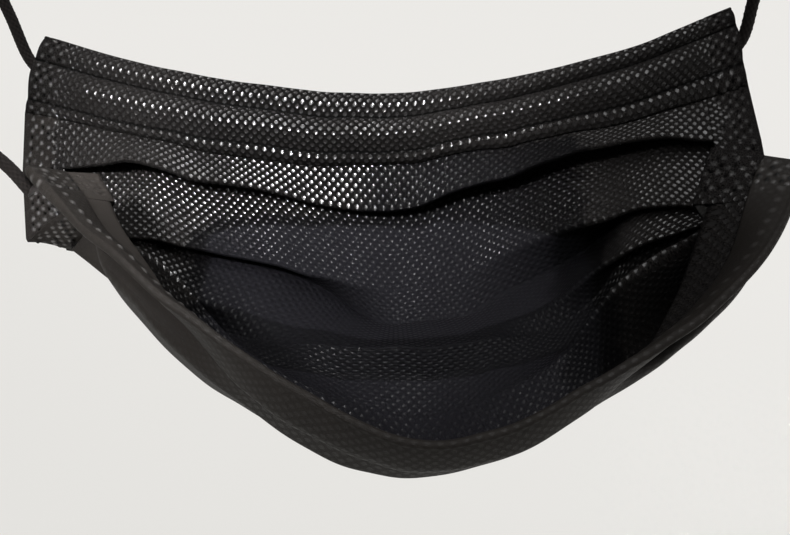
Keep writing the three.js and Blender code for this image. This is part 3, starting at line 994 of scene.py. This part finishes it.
def addWeld(name, station, first, second, part, cordEnd, values, material):
    # the cord's own end, flattened into a waffled pad on the outer face
    u = np.array([station])

    def at(x):
        return line(first, x) * (1 - part) + line(second, x) * part

    along = unit(at(u + 2) - at(u - 2))[0]
    outward = unit(np.cross(along, (line(second, u) - line(first, u))[0]))
    pad = at(u)[0] + outward * values["offset"]
    toCord = cordEnd - pad
    tail = unit(toCord - outward * (toCord @ outward))
    sideways = np.cross(outward, tail)
    bpy.ops.object.select_all(action="DESELECT")
    bpy.ops.mesh.primitive_uv_sphere_add(segments=64, ring_count=48, radius=1)
    weld = bpy.context.object
    weld.name = f"loop_weld_{name}_pad"
    start, bend, end = cordEnd, pad + tail * values["towardCord"], pad - tail * values["reach"]
    ripple = 2 * math.pi / values["waffle"]
    for vertex in weld.data.vertices:
        x, y, z = vertex.co
        t = 0.5 - 0.5 * z  # 0 at the cord, 1 at the far end of the pad
        ring = math.hypot(x, y) or 1
        middle = start * (1 - t) ** 2 + bend * 2 * t * (1 - t) + end * t**2
        flatness = min(t / values["flatFrom"], 1)
        flatness = flatness**2 * (3 - 2 * flatness)
        tip = max(0, (t - values["tipFrom"]) / (1 - values["tipFrom"]))
        closing = math.sqrt(max(0, 1 - tip**2)) * min(1, math.sqrt(t / 0.04))
        cord = values["cordWidth"]
        wide = (cord + (values["width"] - cord) * flatness) / 2 * closing
        thick = (cord + (values["thick"] - cord) * flatness) / 2 * min(1, closing * 1.6)
        a, b = (math.copysign(abs(value / ring) ** values["squareness"], value) for value in (x, y))
        waffle = math.cos(ripple * a * wide) * math.cos(ripple * t * values["length"])
        pressed = values["waffleDepth"] * (0.5 + 0.5 * waffle) * flatness * max(b, 0)
        vertex.co = fromHang(middle + sideways * (a * wide) + outward * (b * thick - pressed))
    bpy.ops.object.mode_set(mode="EDIT")
    bpy.ops.mesh.select_all(action="SELECT")
    bpy.ops.mesh.normals_make_consistent(inside=False)
    bpy.ops.object.mode_set(mode="OBJECT")
    bpy.ops.object.shade_smooth()
    weld.data.materials.append(material)
    place(weld, f"loop_weld_{name}")
    return weld


padMaterial = flatElastic()
for name, (station, first, second, part, end) in weldPlaces.items():
    cordEnd = np.array(loopRoutes["left" if station < 0 else "right"][end], float)
    addWeld(name, station, first, second, part, cordEnd, weldLook, padMaterial)

print("nose wire")
wireLook = {
    "colour": (0.03, 0.03, 0.03, 1),
    "roughness": 0.45,
    "grain": 900.0,
}


def coatedWire(values):
    nodes = Nodes("coatedWire")
    grain = nodes.noise(nodes.coordinates("Object"), values["grain"])
    return nodes.finish(values["colour"], values["roughness"], grain, 0.3, 0.05)


wireMaterial = coatedWire(wireLook)
for materialSlot in bpy.data.objects["nose_wire"].material_slots:
    materialSlot.material = wireMaterial

print("stage")
stage = {
    "floorSize": 120,
    "floorDrop": 3.0,
    "floorColour": (0.915, 0.90, 0.87, 1),
    "floorPaintedShade": (0.825, 0.815, 0.785, 1),
    "floorFade": (-1.0, 6.0),  # painted shade across the floor, from its darker near-left side to the light one
    "keyFrom": (0.25, 0.08, 0.95),
    "keyWidth": 60.0,  # degrees across, as seen from the mask
    "keyStrength": 2.68,
    "skyColour": (1, 0.995, 0.985, 1),
    "skyStrength": 0.1,
    "panelAway": 0.3,
    "panelSize": 0.1,
    "panelSpread": 18.0,
    # direction, aim and watts
    "panels": (((-0.26, -0.16, 0.95), (-0.055, -0.010, -0.095), 0.006),
               ((-0.27, -0.60, 0.75), (-0.022, 0.008, -0.092), 0.095),
               ((0.30, 0.55, 0.78), (-0.055, -0.025, -0.085), 0.015)),
}


def paleFloor(values):
    bpy.ops.object.select_all(action="DESELECT")
    bpy.ops.mesh.primitive_plane_add(size=values["floorSize"], location=(0, 0, -values["floorDrop"]))
    floor = bpy.context.object
    floor.name = "floor"
    nodes = Nodes("palePaper")
    alongX, alongY = nodes.split(nodes.coordinates("Object"))
    # painted shade: the floor's colour darker towards the near left
    slope = nodes.total((alongX, 0.5), (alongY, 1.0))
    light = nodes.ramp(slope, *values["floorFade"])
    colour = nodes.mixColour(light, values["floorPaintedShade"], values["floorColour"])
    floor.data.materials.append(nodes.finish(colour, 0.9))


def lights(values):
    bpy.ops.object.light_add(type="SUN", location=(0, 0, 1))
    key = bpy.context.object
    key.data.angle = math.radians(values["keyWidth"])
    key.data.energy = values["keyStrength"]
    key.rotation_euler = Vector(values["keyFrom"]).to_track_quat("Z", "Y").to_euler()
    for direction, aim, watts in values["panels"]:
        toward = Vector(direction).normalized()
        bpy.ops.object.light_add(type="AREA", location=Vector(aim) + toward * values["panelAway"])
        panel = bpy.context.object
        panel.data.size = values["panelSize"]
        panel.data.spread = math.radians(values["panelSpread"])
        panel.data.energy = watts
        panel.visible_camera = False
        panel.rotation_euler = toward.to_track_quat("Z", "Y").to_euler()


def paleRoom(values):
    world = bpy.data.worlds.new("paleRoom")
    world.use_nodes = True
    background = world.node_tree.nodes["Background"]
    background.inputs["Color"].default_value = values["skyColour"]
    background.inputs["Strength"].default_value = values["skyStrength"]
    bpy.context.scene.world = world
    bpy.context.scene.view_settings.view_transform = "Standard"


paleFloor(stage)
lights(stage)
paleRoom(stage)
